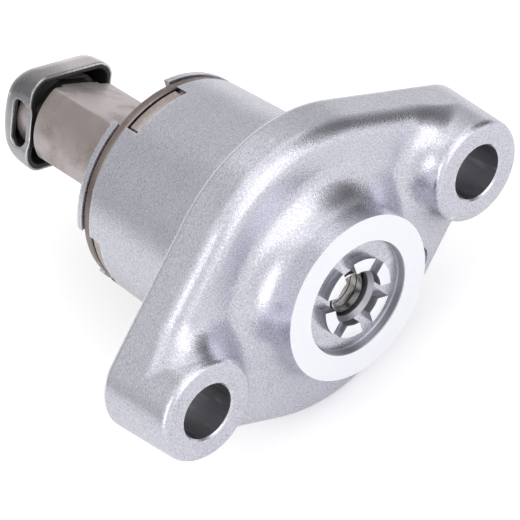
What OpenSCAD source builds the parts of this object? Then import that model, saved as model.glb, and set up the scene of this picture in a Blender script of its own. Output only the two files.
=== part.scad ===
// Timing chain tensioner: a cast housing with a two-ear flange, and a double-D plunger that a
// wound torsion spring drives out of the snout through a multi-start screw.
// Every sub-part is drawn with the tensioner's axis along Z: the mounting face is at Z = 0, the
// ring face with the plug hole is above it and the plunger hangs below. in_frame() then turns the
// axis, so that the plunger points along +Y, the ears lie along X and Z is up.

/* [Flange] */
// Distance between the two bolt holes
bolt_spacing = 44; // [40:1:60]
// Diameter of the bolt holes
bolt_hole_d = 7; // [5:0.5:9]
// Width of the chamfer at the mouth of a bolt hole
bolt_chamfer = 0.4; // [0.2:0.1:0.8]
// Metal round a bolt hole, at the mounting face
ear_wall = 3.5; // [2.5:0.25:5]
// Height of the ears above the mounting face
ear_h = 10.25; // [8.5:0.25:11.5]
// Radius of the flange round the axis
flange_r = 19.6; // [18:0.2:23]
// Height of the flange between the ears
web_h = 6.4; // [6:0.2:8.2]
// Radius of the flange's front edge
web_edge_r = 2.4; // [2:0.2:4.4]
// Draft of the cast walls, in degrees
draft = 3.5; // [1:0.5:4]

/* [Ring boss] */
// Height of the machined ring face above the mounting face
boss_h = 12.4; // [12:0.2:15]
// Outer diameter of the ring face
boss_d = 21; // [19:0.5:22]
// Radius of the fillet between the boss and the flange
boss_fillet_r = 3.8; // [2.5:0.1:4.4]
// Diameter of the recess in the ring face
recess_d = 14.4; // [13:0.2:16]
// Depth of the recess
recess_depth = 1.1; // [0.6:0.1:1.6]
// Number of raised lands in the recess
land_count = 6; // [4:2:8]
// Outer diameter of the ring of lands
land_outer_d = 10.1; // [9:0.1:11.5]
// Inner diameter of the ring of lands
land_inner_d = 6.9; // [6.6:0.1:7.6]
// Width of the key grooves between the lands
key_groove_w = 1.6; // [1:0.1:2.2]
// Diameter of the plug hole, at the crests of its thread
plug_hole_d = 5; // [4.2:0.1:5.6]
// Diameter of the small round pocket beside the boss
pocket_d = 4.2; // [2.5:0.1:4.6]
// Distance of the pocket from the axis
pocket_reach = 15.7; // [13.5:0.1:16.2]
// Depth of the pocket under the flange's front
pocket_depth = 2.4; // [0.8:0.1:3]

/* [Snout] */
// Length of the snout below the mounting face
snout_len = 21.6; // [19:0.1:26]
// Diameter of the snout at the mounting face
snout_root_d = 29; // [28.4:0.1:31]
// Diameter of the snout at its tip
snout_tip_d = 27.4; // [26.8:0.1:28.4]
// Diameter of the bore that holds the spring
bore_d = 20; // [19.2:0.1:20.8]
// Step from the bore out to its mouth, where the guide plate sits
mouth_step = 0.9; // [0.7:0.05:1.2]
// Metal between the bore's mouth and the groove for the snap ring
groove_wall = 1.2; // [0.8:0.05:1.4]
// Metal between the bore's end and the recess
floor_t = 6.3; // [5:0.1:7]

/* [Guide plate and snap ring] */
// Thickness of the guide plate
plate_t = 1.4; // [0.8:0.1:1.8]
// Width of the plate's tabs
tab_w = 7.3; // [5:0.1:9]
// Direction of the upper tab, in degrees from the right ear
upper_tab_turn = 88.5; // [80:0.5:95]
// Direction of the left tab, in degrees from the right ear
left_tab_turn = 183.5; // [176:0.5:190]
// Thickness of the snap ring
ring_t = 1.35; // [0.8:0.05:1.6]
// Width of the snap ring, across its section
ring_w = 1.35; // [1:0.05:1.5]
// Gap between the ends of the snap ring
ring_gap = 3; // [1:0.5:6]
// Wall of the snout beyond the snap ring
lug_land = 1; // [0.6:0.1:1.6]

/* [Plunger] */
// Diameter of the plunger
plunger_d = 13; // [12:0.1:13.2]
// Distance across the plunger's flats
plunger_flats = 9.1; // [8.6:0.1:10]
// Direction that a flat faces, in degrees from the right ear
plunger_turn = 53.3; // [45:0.1:60]
// Length of the plunger outside the snout, as far as its shoulder
plunger_reach = 17.2; // [15:0.1:22]
// Travel of the plunger into the housing
stroke = 13; // [10:0.5:14]
// Length of the stop collar at the plunger's inner end
collar_len = 4.6; // [3.5:0.1:5.5]
// Gap between the stop collar and the spring's coil
collar_gap = 0.65; // [0.4:0.05:0.8]
// Diameter of the plunger's neck inside the cap
neck_d = 11.1; // [10:0.1:11.2]
// Depth of the crimp groove in the neck
crimp_groove = 0.6; // [0.4:0.1:0.9]

/* [Cap] */
// Width of the cap, across its sides
cap_w = 12.9; // [12.6:0.1:14]
// Radius of the cap's corners
cap_corner_r = 2.8; // [2:0.1:3]
// Thickness of the cap's sheet
cap_t = 0.8; // [0.5:0.05:0.8]
// Depth of the cap, from its rim to its crown
cap_depth = 5.7; // [5.2:0.1:7]
// Radius of the crowned face
crown_r = 13; // [11:0.5:20]
// Radius of the edge round the crowned face
cap_edge_r = 1.8; // [1:0.1:1.8]
// Direction that a side of the cap faces, in degrees from the right ear
cap_turn = 63; // [55:1:65]
// Gap between the plunger's shoulder and the rim of the cap
rim_gap = 0.95; // [0.5:0.05:1.5]
// Length of the slot in the side of the cap
slot_len = 6.3; // [4.5:0.1:7.5]
// Width of the slot
slot_w = 2.4; // [1.6:0.1:2.8]
// Width of the bar between the slot and the rim
bar_w = 0.8; // [0.6:0.05:1.2]

/* [Screw and spring] */
// Diameter over the screw's thread
screw_d = 6.4; // [6:0.1:6.6]
// Depth of the thread
thread_depth = 0.7; // [0.5:0.05:0.8]
// Number of starts
thread_starts = 3; // [2:1:4]
// Advance of the plunger for one turn of the screw
thread_lead = 7.2; // [6:0.1:9]
// Length of the thread inside the plunger
nut_len = 6.5; // [5:0.5:9]
// Diameter of the collar at the screw's foot
foot_d = 10.4; // [9.6:0.1:11]
// Height of that collar
foot_t = 2.1; // [1.9:0.1:2.6]
// Diameter of the screw's tail
tail_d = 4.4; // [3.6:0.1:4.6]
// Thickness of the seat washer
seat_t = 1.2; // [0.8:0.1:1.6]
// Diameter of the spring's wire
wire_d = 1.6; // [1.2:0.1:1.7]
// Gap between the spring's coil and the bore
coil_gap = 0.65; // [0.5:0.05:0.8]
// Number of turns
coil_turns = 8.75; // [6.75:1:8.75]

/* [Hidden] */
$fn = 96;
hull_fn = 48;
eps = 0.01;
cut = 1;
arc_step = 30;

// Clearances
slide_play = 0.1;
loose_play = 0.2;
face_play = 0.05;
thread_play = 0.2;

// Flange
draft_slope = tan(draft);
ear_r = bolt_hole_d / 2 + ear_wall;
ear_relief = 0.15;
web_wall_h = web_h - web_edge_r;
pocket_turn = -37;

// Ring boss
recess_floor = boss_h - recess_depth;
boss_wall_turn = 4;
fillet_end_turn = 78;
fillet_run = 2;
bore_end = recess_floor - floor_t;

// Snout, from its tip inwards
tip = -snout_len;
bore_r = bore_d / 2;
mouth_r = bore_r + mouth_step;
groove_floor_r = mouth_r + groove_wall;
ring_in_r = groove_floor_r + face_play;
ring_out_r = ring_in_r + ring_w;
groove_far = tip + lug_land;
groove_near = groove_far + ring_t + 2 * face_play;
plate_far = groove_near + slide_play;
plate_near = plate_far + plate_t;
mouth_floor = plate_near + slide_play;
notch_floor = plate_near + loose_play;
tab_r = ring_out_r - face_play;
tab_turns = [for (half = [0, 180]) each [upper_tab_turn + half, left_tab_turn + half]];
ring_gap_turn = 318;

// Plunger, at its full reach
collar_far = plate_near + slide_play;
collar_near = collar_far + collar_len;
shoulder = tip - plunger_reach;
rim = shoulder - rim_gap;
crown = rim - cap_depth;
slot_near = rim - bar_w;
crimp_near = rim + bar_w / 2;
crimp_far = slot_near - bar_w / 2;
neck_end = crown + cap_t + cap_edge_r;
crimp_d = neck_d - 2 * crimp_groove;
bead_len = 0.6 * slot_len;
bead_t = crimp_groove + cap_t / 2;

// Screw, seat and spring
screw_root_r = screw_d / 2 - thread_depth;
thread_flat_share = 0.18;
thread_slice_turn = 15;
nut_far = collar_near - nut_len;
screw_overrun = 0.9;
screw_end = nut_far - screw_overrun;
hollow_room = 1.5;
hollow_end = screw_end - stroke - hollow_room;
hollow_r = screw_d / 2 + thread_play + slide_play;
seat_far = bore_end - seat_t;
foot_near = seat_far - face_play;
foot_far = foot_near - foot_t;
tail_share = 0.4;
tail_end = bore_end + tail_share * floor_t;
driver_slot_w = 0.8;
driver_slot_depth = 1;
coil_r = bore_r - coil_gap - wire_d / 2;
coil_steps = 16;
wire_sides = 8;
coil_start = seat_far - wire_d / 2 - slide_play;
coil_end = collar_near + wire_d / 2;
leg_bend_r = 1.1 * wire_d;
hook_r = screw_d / 2 + loose_play;
anchor_r = bore_r + wire_d;
collar_r = coil_r - wire_d / 2 - collar_gap;
anchor_turn = 360 * coil_turns;

// Turns the tensioner's axis from Z to the part's own frame
module in_frame() {
    rotate([90, 0, 0]) children();
}

// A round bar or hole from one height to another
module bar(r, from, to) {
    translate([0, 0, min(from, to)]) cylinder(r = r, h = abs(to - from));
}

// Both ears, each with the children drawn at its centre
module at_ears() {
    for (side = [-1, 1]) {
        translate([side * bolt_spacing / 2, 0, 0]) children();
    }
}

// Circle with two flats, which face along X
module double_d(d, flats) {
    intersection() {
        circle(d = d);
        square([flats, 2 * d], center = true);
    }
}

// Square with round corners
module round_square(w, r) {
    square([w, w - 2 * r], center = true);
    square([w - 2 * r, w], center = true);
    for (x = [-1, 1], y = [-1, 1]) {
        translate([x, y] * (w / 2 - r)) circle(r);
    }
}

// Flange blank: three drafted rounds wrapped together, with a rounded front edge
module flange_blank() {
    levels = concat([[0, 0]], [for (turn = [0:arc_step:90]) [web_wall_h + web_edge_r * sin(turn),
        draft_slope * web_wall_h + web_edge_r * (1 - cos(turn))]]);
    hull() {
        for (level = levels) {
            translate([0, 0, level[0]]) {
                cylinder(r = flange_r - level[1], h = eps, $fn = 2 * hull_fn);
                at_ears() cylinder(r = ear_r - ear_relief - level[1], h = eps, $fn = hull_fn);
            }
        }
    }
}

// Boss under the ring face, with a concave fillet that runs out into the flange
module ring_boss() {
    fillet_z = web_h + boss_fillet_r;
    rise = boss_h - fillet_z + boss_fillet_r * sin(boss_wall_turn);
    fillet_x = boss_d / 2 + rise * tan(boss_wall_turn) + boss_fillet_r * cos(boss_wall_turn);
    fillet = [for (turn = [boss_wall_turn:(fillet_end_turn - boss_wall_turn) / 6:fillet_end_turn])
        [fillet_x - boss_fillet_r * cos(turn), fillet_z - boss_fillet_r * sin(turn)]];
    foot = fillet[len(fillet) - 1];
    rotate_extrude() {
        polygon(concat([[0, boss_h], [boss_d / 2, boss_h]], fillet,
            [foot + fillet_run * [1, -1 / tan(fillet_end_turn)], [foot[0] + fillet_run, web_wall_h],
             [0, web_wall_h]]));
    }
}

// Recess in the ring face, round the raised lands
module key_recess() {
    difference() {
        bar(recess_d / 2, recess_floor, boss_h + cut);
        difference() {
            bar(land_outer_d / 2, recess_floor - cut, boss_h);
            for (turn = [0:360 / land_count:179]) {
                rotate(turn + 180 / land_count) translate([0, 0, boss_h]) {
                    cube([recess_d, key_groove_w, 2 * recess_depth], center = true);
                }
            }
        }
    }
}

// Plug hole with its chamfer, and the clear space inside the ring of lands
module plug_hole() {
    lead_in = land_inner_d / 2 - plug_hole_d / 2;
    bar(land_inner_d / 2, recess_floor, boss_h + cut);
    bar(plug_hole_d / 2, tail_end + loose_play, boss_h);
    translate([0, 0, recess_floor - lead_in]) {
        cylinder(r1 = plug_hole_d / 2, r2 = land_inner_d / 2, h = lead_in + eps);
    }
    bar(tail_d / 2 + face_play, bore_end - eps, recess_floor);
}

// Everything that is bored, cut or notched in the snout
module snout_cuts() {
    bar(bore_r, bore_end, tip - cut);
    bar(mouth_r, mouth_floor, tip - cut);
    for (turn = tab_turns) {
        rotate(turn) translate([mouth_r / 2, -tab_w / 2 - loose_play, tip - cut]) {
            cube([snout_root_d, tab_w + 2 * loose_play, notch_floor - tip + cut]);
        }
    }
    rotate_extrude() {
        translate([groove_floor_r, groove_far]) square([snout_root_d, groove_near - groove_far]);
    }
    rotate(anchor_turn) {
        translate([0, leg_bend_r - wire_d / 2 - loose_play, tip]) {
            cube([anchor_r + loose_play, wire_d + 2 * loose_play, coil_end + wire_d - tip]);
        }
    }
}

module housing() {
    color([0.74, 0.75, 0.78]) in_frame() difference() {
        union() {
            flange_blank();
            at_ears() cylinder(r1 = ear_r, r2 = ear_r - ear_h * draft_slope, h = ear_h);
            ring_boss();
            translate([0, 0, tip]) {
                cylinder(r1 = snout_tip_d / 2, r2 = snout_root_d / 2, h = snout_len);
            }
            bar(snout_root_d / 2, 0, web_wall_h);
        }
        at_ears() {
            bar(bolt_hole_d / 2, -cut, ear_h + cut);
            translate([0, 0, ear_h - bolt_chamfer]) {
                cylinder(d1 = bolt_hole_d, d2 = bolt_hole_d + 2 * bolt_chamfer, h = bolt_chamfer + eps);
            }
        }
        rotate(pocket_turn) translate([pocket_reach, 0, 0]) {
            bar(pocket_d / 2, web_h - pocket_depth, boss_h);
        }
        key_recess();
        plug_hole();
        snout_cuts();
    }
}

module guide_plate() {
    color([0.52, 0.48, 0.46]) in_frame() translate([0, 0, plate_far]) {
        linear_extrude(plate_t) difference() {
            union() {
                circle(mouth_r - slide_play);
                intersection() {
                    circle(tab_r);
                    for (turn = tab_turns) {
                        rotate(turn) translate([0, -tab_w / 2]) square([tab_r, tab_w]);
                    }
                }
            }
            rotate(plunger_turn) {
                double_d(plunger_d + 2 * slide_play, plunger_flats + 2 * slide_play);
            }
        }
    }
}

module snap_ring() {
    color([0.5, 0.46, 0.44]) in_frame() difference() {
        rotate_extrude() {
            translate([ring_in_r, groove_far + face_play]) square([ring_w, ring_t]);
        }
        rotate(ring_gap_turn) translate([0, -ring_gap / 2, groove_far - cut]) {
            cube([2 * ring_out_r, ring_gap, ring_t + 2 * cut]);
        }
    }
}

// Cross-section of the thread: flat crests and roots, grown by the given play
function thread_section(play) = let (
    pitch_turn = 360 / thread_starts,
    play_turn = play / (screw_d / 2) * 180 / PI,
    crest = pitch_turn * thread_flat_share + play_turn,
    root = pitch_turn * thread_flat_share - play_turn,
    crest_r = screw_d / 2 + play,
    root_r = screw_root_r + play,
    tooth = [[-crest, crest_r], [0, crest_r], [crest, crest_r], [pitch_turn / 2 - root, root_r],
             [pitch_turn / 2, root_r], [pitch_turn / 2 + root, root_r]])
    [for (start = [0:thread_starts - 1], p = tooth)
        p[1] * [cos(start * pitch_turn + p[0]), sin(start * pitch_turn + p[0])]];

// Right-hand thread from one height up to another, in step with the screw's
module thread(from, to, play) {
    turn = 360 * (to - from) / thread_lead;
    translate([0, 0, from]) rotate(360 * from / thread_lead) {
        linear_extrude(to - from, twist = -turn, slices = ceil(turn / thread_slice_turn), $fn = 6) {
            polygon(thread_section(play));
        }
    }
}

module plunger() {
    color([0.64, 0.6, 0.58]) in_frame() difference() {
        union() {
            bar(collar_r, collar_far, collar_near);
            rotate(plunger_turn) {
                translate([0, 0, shoulder]) {
                    linear_extrude(collar_near - shoulder) double_d(plunger_d, plunger_flats);
                }
                translate([0, 0, neck_end]) {
                    linear_extrude(shoulder - neck_end) double_d(crimp_d, plunger_flats);
                    linear_extrude(crimp_far - neck_end) double_d(neck_d, plunger_flats);
                }
                translate([0, 0, crimp_near]) {
                    linear_extrude(shoulder - crimp_near) double_d(neck_d, plunger_flats);
                }
            }
        }
        thread(nut_far - eps, collar_near + eps, thread_play);
        bar(hollow_r, hollow_end, nut_far);
    }
}

// Solid form of the cap: a square cup with round corners and a crowned end, its edge rounded
module cap_form(w, corner_r, end, edge_r, open_end) {
    hull() {
        for (turn = [0:arc_step:90]) {
            inset = edge_r * (1 - cos(turn));
            drop = edge_r * (1 - sin(turn));
            intersection() {
                translate([0, 0, end]) linear_extrude(open_end - end) {
                    round_square(w - 2 * inset, corner_r - inset / 2, $fn = hull_fn);
                }
                translate([0, 0, end + drop + crown_r]) rotate([90, 0, 0]) {
                    cylinder(r = crown_r, h = 2 * w, center = true, $fn = 2 * hull_fn);
                }
            }
        }
    }
}

module plunger_cap() {
    inner_w = cap_w - 2 * cap_t;
    slot_z = slot_near - slot_w / 2;
    color([0.55, 0.57, 0.6]) in_frame() rotate(cap_turn) difference() {
        union() {
            difference() {
                cap_form(cap_w, cap_corner_r, crown, cap_edge_r, rim);
                cap_form(inner_w, cap_corner_r - cap_t, crown + cap_t, cap_edge_r - cap_t, rim + cut);
            }
            translate([0, cap_w / 2 - cap_t / 2 - bead_t / 2, rim - bar_w / 2]) {
                cube([bead_len, bead_t, bar_w - 2 * eps], center = true);
            }
        }
        translate([0, 0, slot_z]) rotate([-90, 0, 0]) {
            linear_extrude(cap_w) {
                square([slot_len - slot_w, slot_w], center = true);
                for (side = [-1, 1]) {
                    translate([side * (slot_len - slot_w) / 2, 0]) circle(d = slot_w);
                }
            }
        }
    }
}

module screw_shaft() {
    color([0.6, 0.6, 0.62]) in_frame() difference() {
        union() {
            thread(screw_end, foot_far + eps, 0);
            bar(foot_d / 2, foot_far, foot_near);
            bar(tail_d / 2, foot_near, tail_end);
        }
        translate([hook_r - loose_play, -leg_bend_r - wire_d / 2 - loose_play, foot_far - cut]) {
            cube([foot_d, wire_d + 2 * loose_play, foot_t + 2 * cut]);
        }
        translate([0, 0, tail_end]) {
            cube([tail_d + cut, driver_slot_w, 2 * driver_slot_depth], center = true);
        }
    }
}

function unit(v) = v / norm(v);

// Centre line of the spring's wire: hook leg, bend, coil, bend and anchor leg
function spring_path() = let (
    steps = coil_steps * coil_turns,
    polar = function (r, turn, z) [r * cos(turn), r * sin(turn), z],
    b = leg_bend_r,
    hook = [[hook_r, -b, coil_start], [coil_r - b, -b, coil_start]],
    hook_bend = [for (t = [arc_step - 90:arc_step:-1]) [coil_r - b + b * cos(t), b * sin(t), coil_start]],
    coil = [for (i = [0:steps]) polar(coil_r, anchor_turn * i / steps,
        coil_start + (coil_end - coil_start) * i / steps)],
    anchor = [for (t = [arc_step:arc_step:90]) [coil_r + b - b * cos(t), b * sin(t)]],
    leg = concat(anchor, [[anchor_r, b]]),
    turned = [for (p = leg) [p[0] * cos(anchor_turn) - p[1] * sin(anchor_turn),
        p[0] * sin(anchor_turn) + p[1] * cos(anchor_turn), coil_end]])
    concat(hook, hook_bend, coil, turned);

module torsion_spring() {
    sides = wire_sides;
    path = spring_path();
    last = len(path) - 1;
    points = [for (i = [0:last]) let (
        along = unit(path[min(i + 1, last)] - path[max(i - 1, 0)]),
        across = unit(cross([0, 0, 1], along)),
        up = cross(along, across))
        for (k = [0:sides - 1]) path[i] + wire_d / 2 * (cos(360 * k / sides) * across
            + sin(360 * k / sides) * up)];
    skin = [for (i = [0:last - 1], k = [0:sides - 1]) let (next = (k + 1) % sides)
        [i * sides + k, (i + 1) * sides + k, (i + 1) * sides + next, i * sides + next]];
    ends = [[for (k = [0:sides - 1]) k], [for (k = [sides - 1:-1:0]) last * sides + k]];
    color([0.42, 0.42, 0.44]) in_frame() polyhedron(points, concat(skin, ends));
}

module shaft_seat() {
    color([0.58, 0.58, 0.6]) in_frame() difference() {
        bar(bore_r - loose_play, seat_far, bore_end);
        bar(tail_d / 2 + slide_play, seat_far - cut, bore_end + cut);
    }
}

housing();
guide_plate();
snap_ring();
plunger();
plunger_cap();
screw_shaft();
torsion_spring();
shaft_seat();
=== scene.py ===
import math

import bmesh
import bpy
import numpy as np
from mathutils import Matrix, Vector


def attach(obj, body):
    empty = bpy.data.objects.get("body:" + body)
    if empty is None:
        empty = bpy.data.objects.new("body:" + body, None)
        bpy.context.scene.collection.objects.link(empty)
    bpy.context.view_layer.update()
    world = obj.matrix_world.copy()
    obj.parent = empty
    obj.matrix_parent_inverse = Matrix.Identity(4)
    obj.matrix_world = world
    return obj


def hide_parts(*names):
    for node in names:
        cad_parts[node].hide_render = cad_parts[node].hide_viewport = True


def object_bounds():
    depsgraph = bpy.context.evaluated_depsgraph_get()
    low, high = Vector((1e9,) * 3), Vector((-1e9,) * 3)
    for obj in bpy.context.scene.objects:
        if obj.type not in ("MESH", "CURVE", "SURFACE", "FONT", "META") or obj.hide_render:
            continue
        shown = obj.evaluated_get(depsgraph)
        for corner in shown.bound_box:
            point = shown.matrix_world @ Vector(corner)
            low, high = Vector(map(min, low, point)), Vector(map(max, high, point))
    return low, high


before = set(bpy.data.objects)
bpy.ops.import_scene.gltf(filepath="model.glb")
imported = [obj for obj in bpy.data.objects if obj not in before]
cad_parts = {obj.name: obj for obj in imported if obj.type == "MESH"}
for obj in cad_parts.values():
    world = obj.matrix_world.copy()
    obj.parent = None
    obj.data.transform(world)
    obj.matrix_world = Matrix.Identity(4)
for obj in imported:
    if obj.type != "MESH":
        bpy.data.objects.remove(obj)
cad_low, cad_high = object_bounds()


# Housing. A gravity casting in aluminium with a shot-blasted skin: a two-ear flange, a dome under the
# ring face and a tapered snout. The ring face, the mounting face and the notches are machined afterwards,
# so their edges are sharp; the bore and the bolt holes are cored, and painted shade keeps them dark.
EAR_X = 22.0
EAR_R = 7.0
EAR_TOP = 10.25
EAR_EDGE_R = 0.75
FLANGE_R = 19.6
WEB_TOP = 6.3
WEB_FALL = 0.022
WEB_EDGE_R = 2.15
REAR_EDGE_R = 0.45
DRAFT = math.tan(math.radians(3))
RING_TOP = 12.4
RING_R = 10.5
DOME_LEAN = math.radians(3)
DOME_FILLET = 3.8
EAR_FILLET = 3.7
EAR_FILLET_FADES_AT = 0.85
EAR_FILLET_FADE = 1.5
FACING_STOCK = 0.9
ROOT_OVERLAP = 1.5
RECESS_R = 7.2
RECESS_FLOOR = 11.3
RECESS_CORNER = 0.15
RECESS_CHAMFER = 0.1
THREAD_R = 3.0
THREAD_DEEP = 7.72
PLUG_CHAMFER_R = 3.45
PLUG_CHAMFER_FROM = 10.75
TAIL_BORE_R = 2.25
TAIL_BORE_FROM = 4.5
BOLT_R = 3.5
BOLT_CHAMFER = 0.2
BOLT_REAR_CHAMFER = 0.25
POCKET_R = 2.1
POCKET_REACH = 15.7
POCKET_TURN = math.radians(-37)
POCKET_FLOOR = 4.0
POCKET_CORNER = 0.4
SNOUT_TIP = -21.6
SNOUT_TIP_R = 13.7
SNOUT_ROOT_R = 14.5
SNOUT_EDGE_R = 0.25
BORE_R = 10.0
BORE_END = 5.0
MOUTH_R = 10.9
MOUTH_FLOOR = -17.55
MOUTH_CHAMFER = 0.2
NOTCH_FLOOR = -17.25
NOTCH_PLAY = 0.4
TAB_TURNS = [math.radians(t) for t in (88.5, 183.5, 268.5, 363.5)]
TAB_W = 7.3
GROOVE = (-20.6, -19.15)
GROOVE_R = 12.1
PAST_FLANGE = 1.0
PAST_RING = 0.6
PAST_TIP = 1.4
ANCHOR_TURN = math.radians(360 * 8.75)


def in_frame(points):
    """Millimetres drawn along the tensioner's axis, turned into the part's frame in metres."""
    p = np.asarray(points, float).reshape(-1, 3)
    return np.stack([p[:, 0], -p[:, 2], p[:, 1]], 1) * 0.001


def on_axis(points):
    """The part's frame in metres, turned back to millimetres along the tensioner's axis."""
    p = np.asarray(points, float).reshape(-1, 3) * 1000
    return np.stack([p[:, 0], p[:, 2], -p[:, 1]], 1)


def new_piece(name, points, faces):
    mesh = bpy.data.meshes.new(name)
    mesh.from_pydata(in_frame(points).tolist(), [], [list(map(int, f)) for f in faces])
    mesh.validate()
    piece = bpy.data.objects.new(name, mesh)
    bpy.context.scene.collection.objects.link(piece)
    return piece


def rounded_edge(a, b, r):
    """Inside of both a and b, with their common edge rounded to r."""
    a, b = a + r, b + r
    return np.minimum(np.maximum(a, b), 0) + np.hypot(np.maximum(a, 0), np.maximum(b, 0)) - r


def filleted(a, b, r):
    """Inside of a or b, with a hollow fillet of radius r where they meet."""
    return np.maximum(np.minimum(a, b), r) - np.hypot(np.maximum(r - a, 0), np.maximum(r - b, 0))


def smooth(t):
    t = np.clip(t, 0, 1)
    return t * t * (3 - 2 * t)


def casting(x, y, z):
    """Distance to the skin of the flange, ears, dome and snout, below zero inside the metal."""
    along, across, turned = np.abs(x), np.abs(y), np.hypot(x, y)
    taper = (FLANGE_R - EAR_R) / EAR_X
    run = math.sqrt(1 - taper ** 2)
    side = run * along - taper * across
    plan = np.where(side < 0, turned - FLANGE_R, run * across + taper * along - FLANGE_R)
    round_ear = np.hypot(along - EAR_X, across)
    plan = np.where(side > run * EAR_X, round_ear - EAR_R, plan) + DRAFT * z
    web = rounded_edge(plan, z - WEB_TOP + WEB_FALL * (turned - SNOUT_ROOT_R), WEB_EDGE_R)
    ear = rounded_edge(round_ear - EAR_R + DRAFT * z, z - EAR_TOP, EAR_EDGE_R)
    dome = (turned - RING_R - (RING_TOP - z) * math.tan(DOME_LEAN)) * math.cos(DOME_LEAN)
    dome = np.maximum(np.maximum(dome, z - RING_TOP - FACING_STOCK), ROOT_OVERLAP - z)
    outward = (along - EAR_X) / np.maximum(round_ear, 1e-6)
    inward = smooth((EAR_FILLET_FADES_AT - outward) / EAR_FILLET_FADE)
    flange = filleted(filleted(web, dome, DOME_FILLET), ear, EAR_FILLET * inward)
    flange = rounded_edge(np.maximum(flange, plan), -z, REAR_EDGE_R)
    snout = turned - SNOUT_ROOT_R + z * (SNOUT_ROOT_R - SNOUT_TIP_R) / SNOUT_TIP
    snout = np.maximum(rounded_edge(snout, SNOUT_TIP - z, SNOUT_EDGE_R), z - ROOT_OVERLAP)
    return np.minimum(flange, snout)


def skin(field, low, high, cell):
    """Closed skin of small quads round the space where field(x, y, z) is below zero."""
    low = np.array(low, float)
    axes = [np.arange(a, b + cell, cell) for a, b in zip(low, high)]
    value = field(*np.meshgrid(*axes, indexing="ij"))
    inside = value < 0
    size = np.array(value.shape)
    corners = np.zeros(size - 1, np.uint8)
    for i in (0, 1):
        for j in (0, 1):
            for k in (0, 1):
                corners += inside[i:size[0] - 1 + i, j:size[1] - 1 + j, k:size[2] - 1 + k]
    mixed = (corners > 0) & (corners < 8)
    index = np.full(mixed.shape, -1)
    index[mixed] = np.arange(mixed.sum())
    cells = np.argwhere(mixed)
    total, hits = np.zeros((len(cells), 3)), np.zeros(len(cells))
    for axis in range(3):
        for u in (0, 1):
            for v in (0, 1):
                start = np.roll([0, u, v], axis)
                step = np.roll([1, 0, 0], axis)
                a = value[tuple((cells + start).T)]
                b = value[tuple((cells + start + step).T)]
                met = (a < 0) != (b < 0)
                share = a[met] / (a[met] - b[met])
                total[met] += cells[met] + start + share[:, None] * step
                hits[met] += 1
    points = low + cell * total / hits[:, None]
    probe = 0.02
    for _ in range(4):
        lift = field(*points.T)
        slope = np.stack([field(*(points + h).T) - field(*(points - h).T)
                          for h in np.eye(3) * probe], 1) / (2 * probe)
        move = slope * (lift / np.maximum((slope ** 2).sum(1), 0.1))[:, None]
        points -= np.clip(move, -0.5 * cell, 0.5 * cell)
    quads = []
    for axis in range(3):
        u, v = (axis + 1) % 3, (axis + 2) % 3
        first = np.moveaxis(inside, axis, 0)
        edge = np.argwhere(np.moveaxis(first[:-1] != first[1:], 0, axis))
        edge = edge[(edge[:, u] > 0) & (edge[:, v] > 0)]
        ring = []
        for du, dv in ((-1, -1), (0, -1), (0, 0), (-1, 0)):
            cell_of = edge.copy()
            cell_of[:, u] += du
            cell_of[:, v] += dv
            ring.append(index[tuple(cell_of.T)])
        ring = np.stack(ring, 1)
        outward = inside[tuple(edge.T)]
        quads.append(np.where(outward[:, None], ring, ring[:, ::-1]))
    return points, np.concatenate(quads)


def turned(profile, steps=96, x=0.0, y=0.0):
    """Closed turned shape from (radius, height) pairs; a profile that starts on the axis ends there."""
    points, rings = [], []
    for r, z in profile:
        if r == 0:
            rings.append([len(points)] * steps)
            points.append((x, y, z))
        else:
            rings.append(range(len(points), len(points) + steps))
            points += [(x + r * math.cos(a), y + r * math.sin(a), z)
                       for a in np.linspace(0, 2 * math.pi, steps, endpoint=False)]
    pairs = list(zip(rings, rings[1:]))
    if profile[0][0] > 0:
        pairs.append((rings[-1], rings[0]))
    faces = [list(dict.fromkeys((a[k], a[(k + 1) % steps], b[(k + 1) % steps], b[k])))
             for a, b in pairs for k in range(steps)]
    return points, faces


def block(low, high, turn):
    """Box between two corners, turned about the axis."""
    c, s = math.cos(turn), math.sin(turn)
    points = [(c * x - s * y, s * x + c * y, z) for z in (low[2], high[2])
              for x, y in ((low[0], low[1]), (high[0], low[1]), (high[0], high[1]), (low[0], high[1]))]
    faces = [(3, 2, 1, 0), (4, 5, 6, 7)] + [(k, (k + 1) % 4, (k + 1) % 4 + 4, k + 4) for k in range(4)]
    return points, faces


def together(*shapes):
    """Several separate shapes as one."""
    points, faces = [], []
    for p, f in shapes:
        faces += [[k + len(points) for k in face] for face in f]
        points += list(map(tuple, p))
    return points, faces


def machined(piece, steps):
    """Joins or cuts the shapes of steps, one after another, and leaves a plain mesh."""
    tools = []
    for kind, shape in steps:
        tool = new_piece("tool", *shape)
        cut = piece.modifiers.new(kind, "BOOLEAN")
        cut.operation, cut.solver, cut.object = kind, "MANIFOLD", tool
        tools.append(tool)
    seen = piece.evaluated_get(bpy.context.evaluated_depsgraph_get())
    mesh = bpy.data.meshes.new_from_object(seen)
    mesh.name = piece.name
    mesh.materials.clear()
    piece.modifiers.clear()
    piece.data = mesh
    for tool in tools:
        bpy.data.objects.remove(tool)


def shaded(piece, angle):
    piece.data.shade_smooth()
    piece.data.set_sharp_from_angle(angle=math.radians(angle))


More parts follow.
